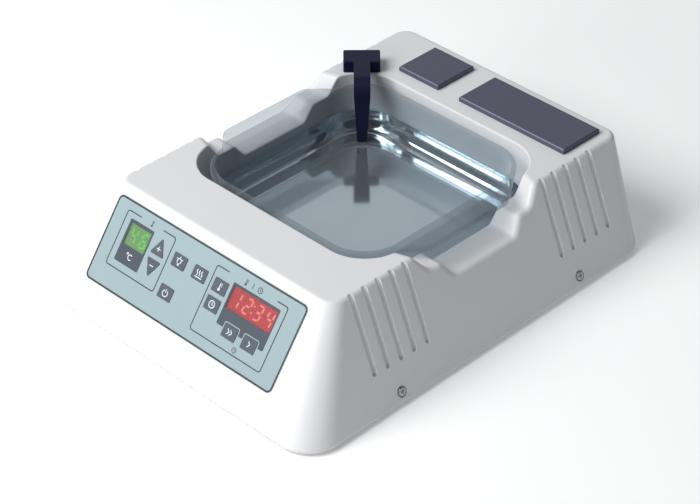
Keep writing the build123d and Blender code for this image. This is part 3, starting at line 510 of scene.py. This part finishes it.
def lay_well_floor(bright):
    """Bright face of the well's floor, a hair above it, clear of the plane of the dish's foot."""
    low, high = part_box("glass_dish")
    middle = (low + high) / 2
    corners = [(floor_half, floor_half), (-floor_half, floor_half)]
    corners += [(-x, -y) for x, y in corners]
    path = rounded(corners, floor_corner, True)
    shape = bmesh.new()
    rings = []
    for rise in (floor_rise, floor_rise + floor_sheet):
        rings.append([shape.verts.new((middle.x + x, middle.y + y, low.z + rise)) for x, y in path])
    lower, upper = rings
    shape.faces.new(lower[::-1])
    shape.faces.new(upper)
    for i in range(len(path)):
        k = (i + 1) % len(path)
        shape.faces.new((lower[i], lower[k], upper[k], upper[i]))
    bmesh.ops.recalc_face_normals(shape, faces=shape.faces)
    mesh = bpy.data.meshes.new("well_floor_face")
    shape.to_mesh(mesh)
    shape.free()
    mesh.materials.append(bright)
    piece = bpy.data.objects.new("well_floor_face", mesh)
    bpy.context.scene.collection.objects.link(piece)
    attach(piece, "base")


def make_finishes():
    """A finish for every node, by what it is made of."""
    steel = linear(176, 178, 180)
    white = linear(222, 222, 224)
    dress(moulded("housing_plastic", white, 0.42, 1800.0, 0.000025, 0.012), "housing_cover")
    film = moulded("control_film", linear(146, 166, 170), 0.45, 5200.0, 0.000006, 0.02)
    dress(film, "control_overlay")
    keys = moulded("key_plastic", linear(76, 83, 94), 0.42, 3600.0, 0.00001)
    dress(keys, *("key_" + name for name in key_marks))
    dress(display_window("green_window", (0.12, 0.22, 0.11), "temp_display"), "temp_window")
    dress(display_window("red_window", (0.30, 0.05, 0.05), "time_display"), "time_window")
    dress(glowing("green_backlight", linear(122, 160, 112), 1.0), "temp_display")
    dress(glowing("green_digits", linear(104, 226, 58), 1.05), "temp_digits")
    dress(glowing("red_backlight", linear(194, 80, 84), 0.95), "time_display")
    dress(glowing("red_digits", linear(250, 150, 140), 1.2), "time_digits")
    dress(dish_glass(), "glass_dish")
    bright = polished_well()
    dress(bright, "bath_well")
    lay_well_floor(bright)
    plate = brushed("plate_anodising", linear(92, 94, 112), 0.46, (1.0, 30.0, 30.0), 0.55)
    dress(plate, "square_drying_plate", "long_drying_plate")
    probe = moulded("probe_plastic", linear(10, 11, 46), 0.46, 2400.0, 0.00001,
                    Specular_IOR_Level=0.25)
    dress(probe, "probe_arm")
    black = moulded("black_moulding", linear(26, 27, 29), 0.45)
    dress(black, "mains_inlet", "fuse_drawer", "probe_socket")
    dress(moulded("switch_plastic", linear(34, 35, 38), 0.5), "key_switches", "terminal_block")
    dress(moulded("foot_rubber", linear(30, 30, 31), 0.75, 1500.0, 0.00005), "rubber_feet")
    silicone = moulded("heater_silicone", linear(150, 70, 44), 0.6)
    dress(silicone, "bath_heater", "square_plate_heater", "long_plate_heater")
    dress(moulded("felt", linear(206, 202, 190), 0.95, 900.0, 0.0004), "insulation_pad")
    laminate = moulded("board_laminate", linear(28, 92, 52), 0.35)
    dress(laminate, "control_board", "power_board", "lamp_board")
    dress(moulded("winding_tape", linear(176, 120, 44), 0.5), "transformer_winding")
    dress(moulded("relay_case", linear(30, 60, 130), 0.25), "relays")
    dress(moulded("frosted_bar", linear(236, 236, 232), 0.6, 1200.0, 0.00002), "lamp_window")
    dress(brushed("screw_steel", steel, 0.3), "cover_screws", "well_screws", "board_screws",
          "board_spacers", "strap_nuts", "thermal_cutout", "probe_sensor")
    dress(brushed("strap_steel", steel, 0.35), "plate_straps")
    dress(brushed("core_iron", linear(92, 92, 96), 0.5), "transformer_core")
    dress(brushed("contact_brass", linear(214, 190, 120), 0.25), "inlet_blades", "probe_pins")
    painted = brushed("painted_sheet", linear(200, 201, 204), 0.5, (1.0, 1.0, 1.0), 0.0, 0.03)
    dress(painted, "base_plate")
    dress(brushed("fuse_caps", steel, 0.25), "fuses")


def make_floor():
    """Plain pale floor."""
    bpy.ops.mesh.primitive_plane_add(size=12)
    floor = bpy.context.object
    floor.name = "floor"
    finish = Finish("pale_floor", Roughness=0.9, Emission_Color=(1, 1, 1), Emission_Strength=0.15)
    finish.set("Base Color", finish.tint(finish.noise(3.0), (0.93, 0.93, 0.93), (0.95, 0.95, 0.95)))
    floor.data.materials.append(finish.material)


def make_lights():
    """Key light from the front left, a low front light, a broad rear panel and a pale surround."""
    world = bpy.data.worlds.new("studio")
    world.use_nodes = True
    backdrop = world.node_tree.nodes["Background"]
    backdrop.inputs["Color"].default_value = (0.93, 0.97, 1.0, 1)
    backdrop.inputs["Strength"].default_value = 0.2
    bpy.context.scene.world = world
    aim = Vector((0, 0, 0.05))
    for name, toward, distance, size, power in (
        ("key_light", (-0.315, -0.60, 0.735), 2.6, 1.6, 64.0),
        ("front_light", (0.0, -0.96, 0.28), 2.2, 0.7, 11.0),
        ("rear_panel", (-0.57, 0.575, 0.588), 3.0, 2.4, 9.0),
    ):
        lamp = bpy.data.lights.new(name, "AREA")
        lamp.size = size
        lamp.energy = power
        holder = bpy.data.objects.new(name, lamp)
        holder.location = aim + Vector(toward).normalized() * distance
        holder.rotation_euler = (aim - holder.location).to_track_quat("-Z", "Y").to_euler()
        bpy.context.scene.collection.objects.link(holder)


def make_camera():
    """Camera at the photograph's place."""
    back = Vector((
        math.sin(camera_azimuth) * math.cos(camera_elevation),
        -math.cos(camera_azimuth) * math.cos(camera_elevation),
        math.sin(camera_elevation),
    ))
    lens = bpy.data.cameras.new("camera")
    lens.lens = camera_lens
    lens.sensor_width = sensor_width
    camera = bpy.data.objects.new("camera", lens)
    camera.location = camera_target + back * camera_distance
    camera.rotation_euler = back.to_track_quat("Z", "Y").to_euler()
    bpy.context.scene.collection.objects.link(camera)
    bpy.context.scene.camera = camera


make_camera()
make_floor()
make_lights()
make_finishes()
ink = moulded("dark_ink", linear(38, 46, 52), 0.5)
pale = moulded("pale_ink", linear(214, 226, 230), 0.5)
print_film(ink, pale)
print_keys(pale)

bpy.context.scene.view_settings.view_transform = "Standard"
